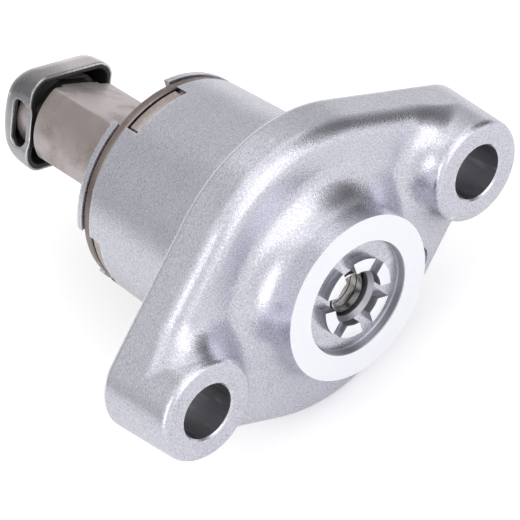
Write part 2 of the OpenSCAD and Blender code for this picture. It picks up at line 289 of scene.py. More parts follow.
room_low, room_high, cell = (-29.6, -20.2, -22.2), (29.6, 20.2, 13.9), 0.3
housing = new_piece("housing_casting", *skin(casting, room_low, room_high, cell))
cutter_r, cutter_top = 15, 15
facing = turned([(0, RING_TOP), (cutter_r, RING_TOP), (cutter_r, cutter_top), (0, cutter_top)])
recess_out = RECESS_R + RECESS_CHAMFER + PAST_RING
plug_hole = turned([(0, TAIL_BORE_FROM), (TAIL_BORE_R, TAIL_BORE_FROM), (TAIL_BORE_R, THREAD_DEEP),
                    (THREAD_R, THREAD_DEEP), (THREAD_R, PLUG_CHAMFER_FROM), (PLUG_CHAMFER_R, RECESS_FLOOR),
                    (RECESS_R - RECESS_CORNER, RECESS_FLOOR), (RECESS_R, RECESS_FLOOR + RECESS_CORNER),
                    (RECESS_R, RING_TOP - RECESS_CHAMFER), (recess_out, RING_TOP + PAST_RING),
                    (0, RING_TOP + PAST_RING)], 120)
bolt_cut = [(0, -PAST_FLANGE), (BOLT_R + BOLT_REAR_CHAMFER + PAST_FLANGE, -PAST_FLANGE),
            (BOLT_R, BOLT_REAR_CHAMFER), (BOLT_R, EAR_TOP - BOLT_CHAMFER),
            (BOLT_R + BOLT_CHAMFER + PAST_FLANGE, EAR_TOP + PAST_FLANGE), (0, EAR_TOP + PAST_FLANGE)]
bolt_holes = together(turned(bolt_cut, 96, EAR_X), turned(bolt_cut, 96, -EAR_X))
pocket = turned([(0, POCKET_FLOOR), (POCKET_R - POCKET_CORNER, POCKET_FLOOR),
                 (POCKET_R, POCKET_FLOOR + POCKET_CORNER), (POCKET_R, RING_TOP), (0, RING_TOP)], 48,
                POCKET_REACH * math.cos(POCKET_TURN), POCKET_REACH * math.sin(POCKET_TURN))
past_tip = SNOUT_TIP - PAST_TIP
bore = turned([(0, past_tip), (MOUTH_R + MOUTH_CHAMFER + PAST_TIP, past_tip),
               (MOUTH_R, SNOUT_TIP + MOUTH_CHAMFER), (MOUTH_R, MOUTH_FLOOR), (BORE_R, MOUTH_FLOOR),
               (BORE_R, BORE_END), (0, BORE_END)], 120)
past_snout_r = 16
groove = turned([(GROOVE_R, GROOVE[0]), (past_snout_r, GROOVE[0]), (past_snout_r, GROOVE[1]),
                 (GROOVE_R, GROOVE[1])], 180)
notch_from, notch_to, half_notch = 5.5, 17, TAB_W / 2 + NOTCH_PLAY
notches = together(*[block((notch_from, -half_notch, past_tip), (notch_to, half_notch, NOTCH_FLOOR), t)
                     for t in TAB_TURNS])
anchor_slot = block((4, 0.76, past_tip), (11.8, 2.76, -10.55), ANCHOR_TURN)
machined(housing, [("DIFFERENCE", facing), ("DIFFERENCE", plug_hole),
                   ("DIFFERENCE", bolt_holes), ("DIFFERENCE", pocket), ("DIFFERENCE", bore),
                   ("DIFFERENCE", groove), ("DIFFERENCE", notches), ("DIFFERENCE", anchor_slot)])
shaded(housing, 38)


def group_sockets(group, inputs, outputs):
    """Names a node group's sockets: inputs as (name, kind, value), outputs as (name, kind)."""
    for name, kind, value in inputs:
        socket = group.interface.new_socket(name, in_out="INPUT", socket_type="NodeSocket" + kind)
        if value is not None:
            socket.default_value = value
    for name, kind in outputs:
        group.interface.new_socket(name, in_out="OUTPUT", socket_type="NodeSocket" + kind)
    return group.nodes.new("NodeGroupInput"), group.nodes.new("NodeGroupOutput")


def node(tree, kind, **settings):
    """A node with its settings; inputs gives the values of its inputs by place or name."""
    made = tree.nodes.new(kind)
    for key, value in settings.items():
        if key == "inputs":
            for place, number in value.items():
                made.inputs[place].default_value = number
        else:
            setattr(made, key, value)
    return made


def maths(tree, operation, a, b):
    """A maths node; a and b are sockets or numbers."""
    made = node(tree, "ShaderNodeMath", operation=operation)
    for place, value in enumerate((a, b)):
        if isinstance(value, (int, float)):
            made.inputs[place].default_value = value
        else:
            tree.links.new(value, made.inputs[place])
    return made.outputs[0]


def spread(tree, value, low, high, to_low, to_high):
    """Maps a value from one span to another."""
    made = node(tree, "ShaderNodeMapRange", clamp=True,
                inputs={1: low, 2: high, 3: to_low, 4: to_high})
    tree.links.new(value, made.inputs[0])
    return made.outputs[0]


def noise(tree, place, scale, detail, rough=0.5):
    """Noise at a place; scale is a socket or a number of features per metre."""
    made = node(tree, "ShaderNodeTexNoise", inputs={"Detail": detail, "Roughness": rough})
    tree.links.new(place, made.inputs["Vector"])
    if isinstance(scale, (int, float)):
        made.inputs["Scale"].default_value = scale
    else:
        tree.links.new(scale, made.inputs["Scale"])
    return made.outputs["Fac"]


def tint(tree, amount, a, b):
    """Mixes two colours by an amount; a may be a socket."""
    made = node(tree, "ShaderNodeMix", data_type="RGBA")
    tree.links.new(amount, made.inputs["Factor"])
    for place, value in ((6, a), (7, b)):
        if isinstance(value, tuple):
            made.inputs[place].default_value = (*value, 1)
        else:
            tree.links.new(value, made.inputs[place])
    return made.outputs[2]


def overlaid(tree, colour, amount, share, other):
    """Lays a share of another colour over a colour, as far as the amount goes."""
    return tint(tree, maths(tree, "MULTIPLY", amount, share), colour, other)


def axis_distance(tree, place):
    """Distance of a place from the tensioner's axis."""
    part = node(tree, "ShaderNodeSeparateXYZ")
    tree.links.new(place, part.inputs[0])
    squares = [maths(tree, "MULTIPLY", part.outputs[k], part.outputs[k]) for k in (0, 2)]
    return maths(tree, "SQRT", maths(tree, "ADD", *squares), 0.0)


grain_group = bpy.data.node_groups.new("Blasted grain", "ShaderNodeTree")
start, end = group_sockets(grain_group, [("Position", "Vector", None), ("Grains per metre", "Float", 4000.0)],
                           [("Fine", "Float"), ("Blotch", "Float"), ("Specks", "Float"), ("Height", "Float")])
fine = noise(grain_group, start.outputs[0], start.outputs[1], 2.0, 0.6)
blotch = noise(grain_group, start.outputs[0], maths(grain_group, "MULTIPLY", start.outputs[1], 0.055), 3.0)
coarse = noise(grain_group, start.outputs[0], maths(grain_group, "MULTIPLY", start.outputs[1], 0.42), 1.0)
specks = noise(grain_group, start.outputs[0], maths(grain_group, "MULTIPLY", start.outputs[1], 0.8), 1.0)
height = maths(grain_group, "ADD", fine, maths(grain_group, "MULTIPLY", coarse, 0.6))
for place, value in enumerate((fine, blotch, spread(grain_group, specks, 0.62, 0.76, 0, 1), height)):
    grain_group.links.new(value, end.inputs[place])

# Lighter convex edges: partly wear from tumbling and shearing, partly painted highlight where edges catch
# light.
wear_and_highlight_group = bpy.data.node_groups.new("Worn edges", "ShaderNodeTree")
start, end = group_sockets(wear_and_highlight_group, [("From", "Float", 0.52), ("To", "Float", 0.62)], [("Worn", "Float")])
point = node(wear_and_highlight_group, "ShaderNodeNewGeometry").outputs["Pointiness"]
wear_and_highlight = node(wear_and_highlight_group, "ShaderNodeMapRange", clamp=True)
wear_and_highlight_group.links.new(point, wear_and_highlight.inputs[0])
wear_and_highlight_group.links.new(start.outputs[0], wear_and_highlight.inputs[1])
wear_and_highlight_group.links.new(start.outputs[1], wear_and_highlight.inputs[2])
wear_and_highlight_group.links.new(wear_and_highlight.outputs[0], end.inputs[0])


def new_finish(name, metallic=1.0):
    """An empty metal finish: its material, tree, shader and object coordinates."""
    finish = bpy.data.materials.new(name)
    finish.use_nodes = True
    tree = finish.node_tree
    shader = tree.nodes["Principled BSDF"]
    shader.inputs["Metallic"].default_value = metallic
    return finish, tree, shader, node(tree, "ShaderNodeTexCoord").outputs["Object"]


def place_group(tree, group, position=None, **values):
    """Puts a node group in a material with its own values."""
    made = node(tree, "ShaderNodeGroup", node_tree=group)
    if position is not None:
        tree.links.new(position, made.inputs["Position"])
    for key, value in values.items():
        made.inputs[key.replace("_", " ")].default_value = value
    return made.outputs


def bumped(tree, shader, height, strength, distance):
    bump = node(tree, "ShaderNodeBump", inputs={"Strength": strength, "Distance": distance})
    tree.links.new(height, bump.inputs["Height"])
    tree.links.new(bump.outputs[0], shader.inputs["Normal"])


def roughened(tree, shader, value, low, high, at_low, at_high):
    """Lets the roughness follow a value."""
    tree.links.new(spread(tree, value, low, high, at_low, at_high), shader.inputs["Roughness"])


cast_finish, tree, shader, where = new_finish("cast_aluminium")
grain = place_group(tree, grain_group, where, Grains_per_metre=4800.0)
edges = place_group(tree, wear_and_highlight_group, From=0.51, To=0.60)
skin_colour = tint(tree, grain["Blotch"], (0.47, 0.467, 0.525), (0.60, 0.597, 0.668))
bright_grains = spread(tree, grain["Fine"], 0.36, 0.64, 0.0, 0.62)
skin_colour = tint(tree, bright_grains, skin_colour, (0.835, 0.832, 0.92))
skin_colour = overlaid(tree, skin_colour, grain["Specks"], 0.45, (0.26, 0.258, 0.29))
# Lighter edges: wear, with painted highlight.
skin_colour = overlaid(tree, skin_colour, edges["Worn"], 0.5, (0.87, 0.86, 0.92))
tree.links.new(skin_colour, shader.inputs["Base Color"])
roughened(tree, shader, grain["Fine"], 0.25, 0.75, 0.31, 0.21)
bumped(tree, shader, grain["Height"], 0.5, 0.00005)

turning_group = bpy.data.node_groups.new("Turning marks", "ShaderNodeTree")
start, end = group_sockets(turning_group, [("Position", "Vector", None), ("Feed", "Float", 0.00018)],
                           [("Marks", "Float")])
radius = axis_distance(turning_group, start.outputs[0])
wobble = maths(turning_group, "MULTIPLY", noise(turning_group, start.outputs[0], 900.0, 2.0), 1.4)
passes = maths(turning_group, "ADD", maths(turning_group, "DIVIDE", radius, start.outputs[1]), wobble)
marks = maths(turning_group, "SINE", maths(turning_group, "MULTIPLY", passes, 2 * math.pi), 0.0)
turning_group.links.new(spread(turning_group, marks, -1, 1, 0, 1), end.inputs[0])

faced_finish, tree, shader, where = new_finish("faced_aluminium")
marks = place_group(tree, turning_group, where, Feed=0.00022)
grain = place_group(tree, grain_group, where, Grains_per_metre=2600.0)
faced_colour = tint(tree, grain["Blotch"], (0.93, 0.935, 0.985), (0.96, 0.965, 1.0))
faced_colour = overlaid(tree, faced_colour, grain["Specks"], 0.15, (0.6, 0.6, 0.63))
tree.links.new(faced_colour, shader.inputs["Base Color"])
roughened(tree, shader, marks["Marks"], 0, 1, 0.30, 0.38)
bumped(tree, shader, marks["Marks"], 0.06, 0.00001)

milled_finish, tree, shader, where = new_finish("milled_aluminium")
grain = place_group(tree, grain_group, where, Grains_per_metre=2600.0)
milled_colour = tint(tree, grain["Blotch"], (0.34, 0.34, 0.37), (0.48, 0.48, 0.52))
milled_colour = overlaid(tree, milled_colour, grain["Specks"], 0.4, (0.3, 0.3, 0.32))
tree.links.new(milled_colour, shader.inputs["Base Color"])
roughened(tree, shader, grain["Fine"], 0.3, 0.7, 0.36, 0.48)
bumped(tree, shader, grain["Height"], 0.2, 0.00004)

cored_shaded_finish, tree, shader, where = new_finish("cored_hole")
streak = node(tree, "ShaderNodeMapping", inputs={"Scale": (1.0, 0.18, 1.0)})
tree.links.new(where, streak.inputs["Vector"])
grain = place_group(tree, grain_group, streak.outputs[0], Grains_per_metre=1500.0)
# Painted shade: a dark grey on the cored walls stands in for the shade inside the holes and the bore.
cored_shade_colour = tint(tree, grain["Blotch"], (0.25, 0.25, 0.27), (0.38, 0.38, 0.405))
cored_shade_colour = overlaid(tree, cored_shade_colour, grain["Specks"], 0.5, (0.62, 0.62, 0.64))
tree.links.new(cored_shade_colour, shader.inputs["Base Color"])
roughened(tree, shader, grain["Fine"], 0.3, 0.7, 0.38, 0.55)
bumped(tree, shader, grain["Height"], 0.3, 0.00006)


def face_values(piece, kind):
    """The centre or the normal of each face, along the tensioner's axis."""
    values = np.zeros(len(piece.data.polygons) * 3)
    piece.data.polygons.foreach_get(kind, values)
    return on_axis(values).T


def set_finishes(piece, finishes, which):
    """Gives each face one of the finishes, by number."""
    for finish in finishes:
        piece.data.materials.append(finish)
    piece.data.polygons.foreach_set("material_index", which.astype(np.int32))
    piece.data.update()


CAST, FACED, MILLED, CORED_SHADED = range(4)
NEAR = 0.05
x, y, level = face_values(housing, "center")
up = face_values(housing, "normal")[2] / 1000
out, bolt_out = np.hypot(x, y), np.hypot(np.abs(x) - EAR_X, y)
recess_low = PLUG_CHAMFER_FROM - NEAR
in_recess = (out < RECESS_R + RECESS_CORNER) & (level > recess_low) & (level < RING_TOP - 0.01)
in_bore = (out < MOUTH_R + NEAR) & (level < BORE_END + NEAR) & (level > SNOUT_TIP + SNOUT_EDGE_R)
which = np.full(len(level), CAST)
which[(np.abs(level - RING_TOP) < 0.02) & (up > 0.9)] = FACED
which[(np.abs(level) < REAR_EDGE_R) & (up < -0.12) & (out > SNOUT_ROOT_R - 0.3)] = FACED
which[in_recess & (up < 0.95)] = MILLED
which[(bolt_out < BOLT_R + 0.02) & (np.abs(up) < 0.3)] = CORED_SHADED
which[(out < THREAD_R + NEAR) & (level < recess_low)] = CORED_SHADED
which[in_bore] = CORED_SHADED
set_finishes(housing, (cast_finish, faced_finish, milled_finish, cored_shaded_finish), which)
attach(housing, "housing")
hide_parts("housing")


# Key lands. Six lands of the same casting stand in the recess round the plug hole, with parallel grooves
# between them that hold the stopper key; their tops are faced in one pass with the ring face.
LAND_COUNT = 6
LAND_OUT = 5.05
LAND_IN = 3.45
LAND_ROOT = 0.3
LAND_EDGE = 0.00009
KEY_GROOVE = 1.6
outer = math.pi / LAND_COUNT - math.asin(KEY_GROOVE / 2 / LAND_OUT)
inner = math.pi / LAND_COUNT - math.asin(KEY_GROOVE / 2 / LAND_IN)
rim = [(LAND_OUT * math.cos(a), LAND_OUT * math.sin(a)) for a in np.linspace(-outer, outer, 13)]
rim += [(LAND_IN * math.cos(a), LAND_IN * math.sin(a)) for a in np.linspace(inner, -inner, 11)]
steps = len(rim)
land = new_piece("land", [(x, y, z) for z in (RECESS_FLOOR - LAND_ROOT, RING_TOP) for x, y in rim],
                 [tuple(range(steps))[::-1], tuple(range(steps, 2 * steps))]
                 + [(k, (k + 1) % steps, (k + 1) % steps + steps, k + steps) for k in range(steps)])
edge = land.modifiers.new("edge", "BEVEL")
edge.width, edge.segments = LAND_EDGE, 2
edge.limit_method, edge.angle_limit = "ANGLE", math.radians(50)


def geometry_tree(name, inputs):
    """A geometry node tree with named inputs, and its output node."""
    tree = bpy.data.node_groups.new(name, "GeometryNodeTree")
    tree.interface.new_socket("Geometry", in_out="INPUT", socket_type="NodeSocketGeometry")
    tree.interface.new_socket("Geometry", in_out="OUTPUT", socket_type="NodeSocketGeometry")
    for socket_name, kind in inputs:
        tree.interface.new_socket(socket_name, in_out="INPUT", socket_type="NodeSocket" + kind)
    return tree, tree.nodes.new("NodeGroupInput").outputs, tree.nodes.new("NodeGroupOutput").inputs


def chain(tree, *made):
    """Links each node's first output to the next one's first input, or to the socket that is given."""
    for a, b in zip(made, made[1:]):
        tree.links.new(a if isinstance(a, bpy.types.NodeSocket) else a.outputs[0],
                       b if isinstance(b, bpy.types.NodeSocket) else b.inputs[0])


def reach(tree, place, direction):
    """How far a place lies in a direction."""
    made = node(tree, "ShaderNodeVectorMath", operation="DOT_PRODUCT", inputs={1: direction})
    tree.links.new(place, made.inputs[0])
    return made.outputs["Value"]


def grown(name, tree, base=None, **values):
    """Runs a geometry tree with its own values and keeps the result as a plain mesh piece."""
    mesh = base if base is not None else bpy.data.meshes.new(name + "_seed")
    piece = bpy.data.objects.new(name, mesh)
    bpy.context.scene.collection.objects.link(piece)
    run = piece.modifiers.new(name, "NODES")
    run.node_group = tree
    names = {s.name: s.identifier for s in tree.interface.items_tree if s.in_out == "INPUT"}
    for key, value in values.items():
        run[names[key.replace("_", " ")]] = value
    seen = piece.evaluated_get(bpy.context.evaluated_depsgraph_get())
    mesh = bpy.data.meshes.new_from_object(seen)
    mesh.name = name
    piece.modifiers.clear()
    piece.data = mesh
    return piece


tree, given, result = geometry_tree("Ring of lands", [
    ("Land", "Object"), ("Count", "Int"), ("Side finish", "Material"), ("Top finish", "Material")])
copies = node(tree, "GeometryNodePoints")
tree.links.new(given["Count"], copies.inputs["Count"])
turn = maths(tree, "DIVIDE", 2 * math.pi, given["Count"])
turn = maths(tree, "MULTIPLY", turn, node(tree, "GeometryNodeInputIndex").outputs[0])
spin = node(tree, "ShaderNodeCombineXYZ")
tree.links.new(turn, spin.inputs["Y"])
source = node(tree, "GeometryNodeObjectInfo")
tree.links.new(given["Land"], source.inputs["Object"])
ring = node(tree, "GeometryNodeInstanceOnPoints")
tree.links.new(source.outputs["Geometry"], ring.inputs["Instance"])
tree.links.new(spin.outputs[0], ring.inputs["Rotation"])
sides, tops = node(tree, "GeometryNodeSetMaterial"), node(tree, "GeometryNodeSetMaterial")
tree.links.new(given["Side finish"], sides.inputs["Material"])
tree.links.new(given["Top finish"], tops.inputs["Material"])
to_front = reach(tree, node(tree, "GeometryNodeInputNormal").outputs[0], (0, -1, 0))
tree.links.new(maths(tree, "GREATER_THAN", to_front, 0.9), tops.inputs["Selection"])
chain(tree, copies, ring, node(tree, "GeometryNodeRealizeInstances"), sides, tops, result[0])
lands = grown("key_lands", tree, Land=land, Count=LAND_COUNT, Side_finish=milled_finish,
              Top_finish=faced_finish)
bpy.data.objects.remove(land)
shaded(lands, 40)
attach(lands, "housing")


# Plug thread. An M6 thread is tapped into the hole behind the recess for the seal bolt: right-hand, with
# a pitch of 1 mm, bright on its crests and darkened in its roots with painted shade.
THREAD_FOOT_SHARE = 0.86
THREAD_CREST_SHARE = 0.16
THREAD_SHADE_R = 0.00264
THREAD_BRIGHT_R = 0.00253
tree, given, result = geometry_tree("Tapped thread", [
    ("Turns", "Float"), ("Pitch", "Float"), ("Root radius", "Float"), ("Depth", "Float"),
    ("Start", "Float"), ("Finish", "Material")])
path = node(tree, "GeometryNodeCurveSpiral", inputs={"Resolution": 48})
tree.links.new(given["Turns"], path.inputs["Rotations"])
tree.links.new(given["Root radius"], path.inputs["Start Radius"])
tree.links.new(given["Root radius"], path.inputs["End Radius"])
tree.links.new(maths(tree, "MULTIPLY", given["Turns"], given["Pitch"]), path.inputs["Height"])
upright = node(tree, "GeometryNodeSetCurveNormal", mode="Z_UP")
ridge = node(tree, "GeometryNodeCurvePrimitiveQuadrilateral", mode="TRAPEZOID", inputs={"Offset": 0})
tree.links.new(given["Depth"], ridge.inputs["Height"])
tree.links.new(maths(tree, "MULTIPLY", given["Pitch"], THREAD_FOOT_SHARE), ridge.inputs["Bottom Width"])
tree.links.new(maths(tree, "MULTIPLY", given["Pitch"], THREAD_CREST_SHARE), ridge.inputs["Top Width"])
stood = node(tree, "GeometryNodeTransform", inputs={"Rotation": (0, 0, math.radians(90))})
sweep = node(tree, "GeometryNodeCurveToMesh", inputs={"Fill Caps": True})
laid = node(tree, "GeometryNodeTransform", inputs={"Rotation": (math.radians(90), 0, 0)})
shift = node(tree, "ShaderNodeCombineXYZ")
tree.links.new(given["Start"], shift.inputs["Y"])
tree.links.new(shift.outputs[0], laid.inputs["Translation"])
cover = node(tree, "GeometryNodeSetMaterial")
tree.links.new(given["Finish"], cover.inputs["Material"])
chain(tree, ridge, stood, sweep.inputs["Profile Curve"])
chain(tree, path, upright, sweep, laid, node(tree, "GeometryNodeRealizeInstances"), cover, result[0])

tapped_finish, finish_tree, shader, where = new_finish("tapped_aluminium")
grain = place_group(finish_tree, grain_group, where, Grains_per_metre=3000.0)
# Painted shade: the colour falls to near black toward the thread's roots.
root_shade_to_crest = spread(finish_tree, axis_distance(finish_tree, where), THREAD_SHADE_R, THREAD_BRIGHT_R, 0.0, 1.0)
tapped_colour = tint(finish_tree, root_shade_to_crest, (0.05, 0.048, 0.048), (0.92, 0.91, 0.90))
finish_tree.links.new(tapped_colour, shader.inputs["Base Color"])
roughened(finish_tree, shader, grain["Fine"], 0.3, 0.7, 0.14, 0.22)
thread = grown("plug_thread", tree, Turns=2.9, Pitch=0.001, Root_radius=0.00276, Depth=0.00052,
               Start=-0.0078, Finish=tapped_finish)
shaded(thread, 30)
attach(thread, "housing")


# Shaft seat and screw. A ground steel washer at the end of the bore takes the thrust of the screw, which
# is turned from bar with a three-start thread and has a slotted tail behind the plug hole.
ground_finish, tree, shader, where = new_finish("turned_steel")
marks = place_group(tree, turning_group, where, Feed=0.00015)
grain = place_group(tree, grain_group, where, Grains_per_metre=2200.0)
ground_colour = tint(tree, grain["Blotch"], (0.40, 0.39, 0.39), (0.55, 0.54, 0.54))
ground_colour = overlaid(tree, ground_colour, grain["Specks"], 0.4, (0.22, 0.2, 0.19))
tree.links.new(ground_colour, shader.inputs["Base Color"])
roughened(tree, shader, marks["Marks"], 0, 1, 0.24, 0.36)
bumped(tree, shader, marks["Marks"], 0.1, 0.00001)
for name in ("shaft_seat", "screw_shaft"):
    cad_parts[name].data.materials.clear()
    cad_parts[name].data.materials.append(ground_finish)


# Torsion spring. Oiled spring wire is wound in close turns round the screw; its inner leg hooks into the
# screw's foot and its outer leg lies in a slot of the bore.
WIRE_D = 1.6
COIL_R = 8.55
COIL_FROM = 2.9
COIL_TO = -12.15
COIL_TURNS = 8.75
BEND_R = 1.1 * WIRE_D
HOOK_R = 3.4
ANCHOR_R = 11.6
path = [(HOOK_R, -BEND_R, COIL_FROM), (COIL_R - BEND_R, -BEND_R, COIL_FROM)]
path += [(COIL_R - BEND_R + BEND_R * math.cos(a), BEND_R * math.sin(a), COIL_FROM)
         for a in np.radians([-75, -60, -45, -30, -15])]
for share in np.linspace(0, 1, int(36 * COIL_TURNS) + 1):
    a = 2 * math.pi * COIL_TURNS * share
    path.append((COIL_R * math.cos(a), COIL_R * math.sin(a), COIL_FROM + (COIL_TO - COIL_FROM) * share))
leg = [(COIL_R + BEND_R - BEND_R * math.cos(a), BEND_R * math.sin(a))
       for a in np.radians([15, 30, 45, 60, 75, 90])]
c, s = math.cos(ANCHOR_TURN), math.sin(ANCHOR_TURN)
path += [(c * x - s * y, s * x + c * y, COIL_TO) for x, y in leg + [(ANCHOR_R, BEND_R)]]
line = bpy.data.meshes.new("spring_path")
line.from_pydata(in_frame(path).tolist(), [(k, k + 1) for k in range(len(path) - 1)], [])

tree, given, result = geometry_tree("Wound wire", [("Wire radius", "Float"), ("Finish", "Material")])
wire = node(tree, "GeometryNodeMeshToCurve")
section = node(tree, "GeometryNodeCurvePrimitiveCircle", inputs={"Resolution": 14})
tree.links.new(given["Wire radius"], section.inputs["Radius"])
sweep = node(tree, "GeometryNodeCurveToMesh", inputs={"Fill Caps": True})
cover = node(tree, "GeometryNodeSetMaterial")
tree.links.new(given["Finish"], cover.inputs["Material"])
chain(tree, section, sweep.inputs["Profile Curve"])
chain(tree, given["Geometry"], wire, sweep, node(tree, "GeometryNodeRealizeInstances"), cover, result[0])

spring_finish, finish_tree, shader, where = new_finish("spring_wire")
grain = place_group(finish_tree, grain_group, where, Grains_per_metre=1800.0)
wire_colour = tint(finish_tree, grain["Blotch"], (0.17, 0.165, 0.16), (0.27, 0.265, 0.26))
wire_colour = overlaid(finish_tree, wire_colour, grain["Specks"], 0.4, (0.42, 0.41, 0.4))
finish_tree.links.new(wire_colour, shader.inputs["Base Color"])
roughened(finish_tree, shader, grain["Fine"], 0.3, 0.7, 0.25, 0.42)
spring = grown("torsion_spring_wire", tree, line, Wire_radius=WIRE_D / 2000, Finish=spring_finish)
shaded(spring, 50)
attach(spring, "housing")
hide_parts("torsion_spring")


# Guide plate. Stamped from steel strip: a disc in the bore's mouth with a double-D hole for the plunger,
# and four tabs that lie in the notches of the snout. Shearing left its edges dull with bright burrs.
PLATE = (-19.05, -17.65)
PLATE_R = 10.8
PLATE_EDGE = 0.00014
TAB_R = 13.45
GUIDE_R = 6.6
GUIDE_FLAT = 4.65
PLUNGER_TURN = math.radians(53.3)
rim = []
for t, after in zip(TAB_TURNS, TAB_TURNS[1:] + [TAB_TURNS[0] + 2 * math.pi]):
    wide, root = math.asin(TAB_W / 2 / TAB_R), math.asin(TAB_W / 2 / PLATE_R)
    rim += [(TAB_R * math.cos(t + a), TAB_R * math.sin(t + a)) for a in np.linspace(-wide, wide, 13)]
    rim += [(PLATE_R * math.cos(a), PLATE_R * math.sin(a)) for a in np.linspace(t + root, after - root, 17)]
hole = []
for a in np.linspace(0, 2 * math.pi, 96, endpoint=False):
    r = min(GUIDE_R, GUIDE_FLAT / max(abs(math.cos(a)), 1e-6))
    hole.append((r * math.cos(a + PLUNGER_TURN), r * math.sin(a + PLUNGER_TURN)))
solid = bmesh.new()
loops = []
for ring in (rim, hole):
    corner = [solid.verts.new(p) for p in in_frame([(x, y, PLATE[0]) for x, y in ring])]
    loops += [solid.edges.new((a, b)) for a, b in zip(corner, corner[1:] + corner[:1])]
bmesh.ops.triangle_fill(solid, use_beauty=True, use_dissolve=False, edges=loops)
raised = bmesh.ops.extrude_face_region(solid, geom=solid.faces[:])["geom"]
bmesh.ops.translate(solid, vec=(0, (PLATE[0] - PLATE[1]) / 1000, 0),
                    verts=[v for v in raised if isinstance(v, bmesh.types.BMVert)])
bmesh.ops.recalc_face_normals(solid, faces=solid.faces[:])
sharp = [e for e in solid.edges if e.is_manifold and e.calc_face_angle() > math.radians(60)]
bmesh.ops.bevel(solid, geom=sharp, offset=PLATE_EDGE, segments=2, affect="EDGES", profile=0.5)
plate_mesh = bpy.data.meshes.new("guide_plate_stamping")
solid.to_mesh(plate_mesh)
solid.free()
plate = bpy.data.objects.new("guide_plate_stamping", plate_mesh)
bpy.context.scene.collection.objects.link(plate)
shaded(plate, 40)

sheared_finish, tree, shader, where = new_finish("sheared_steel")
grain = place_group(tree, grain_group, where, Grains_per_metre=2200.0)
edges = place_group(tree, wear_and_highlight_group, From=0.53, To=0.60)
plate_colour = tint(tree, grain["Blotch"], (0.34, 0.29, 0.27), (0.49, 0.425, 0.405))
plate_colour = overlaid(tree, plate_colour, grain["Specks"], 0.5, (0.70, 0.64, 0.61))
# Lighter edges: bright burrs, with painted highlight.
plate_colour = overlaid(tree, plate_colour, edges["Worn"], 0.7, (0.82, 0.79, 0.77))
tree.links.new(plate_colour, shader.inputs["Base Color"])
roughened(tree, shader, grain["Fine"], 0.3, 0.7, 0.30, 0.46)
bumped(tree, shader, grain["Height"], 0.25, 0.00005)
plate.data.materials.append(sheared_finish)
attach(plate, "housing")
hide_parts("guide_plate")


# Snap ring. A split ring of oiled spring steel, rolled from flat wire with rounded edges; it springs into
# the groove of the snout and holds the guide plate in the notches.
tree, given, result = geometry_tree("Split ring", [
    ("Ring radius", "Float"), ("Width", "Float"), ("Thickness", "Float"), ("Edge radius", "Float"),
    ("Gap middle", "Float"), ("Gap angle", "Float"), ("Level", "Float"), ("Finish", "Material")])
arc = node(tree, "GeometryNodeCurveArc", inputs={"Resolution": 160})
tree.links.new(given["Ring radius"], arc.inputs["Radius"])
half = maths(tree, "MULTIPLY", given["Gap angle"], 0.5)
tree.links.new(maths(tree, "ADD", given["Gap middle"], half), arc.inputs["Start Angle"])
tree.links.new(maths(tree, "SUBTRACT", 2 * math.pi, given["Gap angle"]), arc.inputs["Sweep Angle"])
upright = node(tree, "GeometryNodeSetCurveNormal", mode="Z_UP")
bar = node(tree, "GeometryNodeCurvePrimitiveQuadrilateral")
tree.links.new(given["Width"], bar.inputs["Width"])
tree.links.new(given["Thickness"], bar.inputs["Height"])
soften = node(tree, "GeometryNodeFilletCurve", mode="POLY", inputs={"Count": 4})
tree.links.new(given["Edge radius"], soften.inputs["Radius"])
sweep = node(tree, "GeometryNodeCurveToMesh", inputs={"Fill Caps": True})
laid = node(tree, "GeometryNodeTransform", inputs={"Rotation": (math.radians(90), 0, 0)})
shift = node(tree, "ShaderNodeCombineXYZ")
tree.links.new(given["Level"], shift.inputs["Y"])
tree.links.new(shift.outputs[0], laid.inputs["Translation"])
cover = node(tree, "GeometryNodeSetMaterial")
tree.links.new(given["Finish"], cover.inputs["Material"])
chain(tree, bar, soften, sweep.inputs["Profile Curve"])
chain(tree, arc, upright, sweep, laid, node(tree, "GeometryNodeRealizeInstances"), cover, result[0])

ring_finish, finish_tree, shader, where = new_finish("oiled_ring_steel")
grain = place_group(finish_tree, grain_group, where, Grains_per_metre=1700.0)
ring_colour = tint(finish_tree, grain["Blotch"], (0.16, 0.132, 0.123), (0.36, 0.305, 0.285))
ring_colour = overlaid(finish_tree, ring_colour, grain["Specks"], 0.4, (0.55, 0.49, 0.46))
finish_tree.links.new(ring_colour, shader.inputs["Base Color"])
roughened(finish_tree, shader, grain["Fine"], 0.3, 0.7, 0.22, 0.36)
bumped(finish_tree, shader, grain["Height"], 0.12, 0.00004)
snap_ring = grown("snap_ring_wire", tree, Ring_radius=0.012825, Width=0.00135, Thickness=0.00115,
                  Edge_radius=0.00022, Gap_middle=math.radians(318), Gap_angle=0.2225, Level=0.019975,
                  Finish=ring_finish)
shaded(snap_ring, 40)
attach(snap_ring, "housing")
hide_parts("snap_ring")


# Plunger. A ground steel push rod with two flats, a stop collar at its inner end and a grooved neck for
# the cap; it is drilled and tapped from inside for the screw. Heat treatment left brown stains on it;
# painted shade darkens its upper round side, a painted sheen lightens its flats toward the cap, and a
# painted shadow blackens its neck under the cap.
PLUNGER_R = 6.5
FLATS = 4.55
FLAT_CUT_BACK = 0.03
ROUND_CUT_BACK = 0.02
NECK_R = 5.55
NECK_GROOVE_R = 4.95
SHOULDER = -38.8
COLLAR = (-17.55, -12.95)
COLLAR_R = 7.1
COLLAR_EDGE = 0.2
NUT_R = 3.1
SCREW_ROOM_R = 3.5


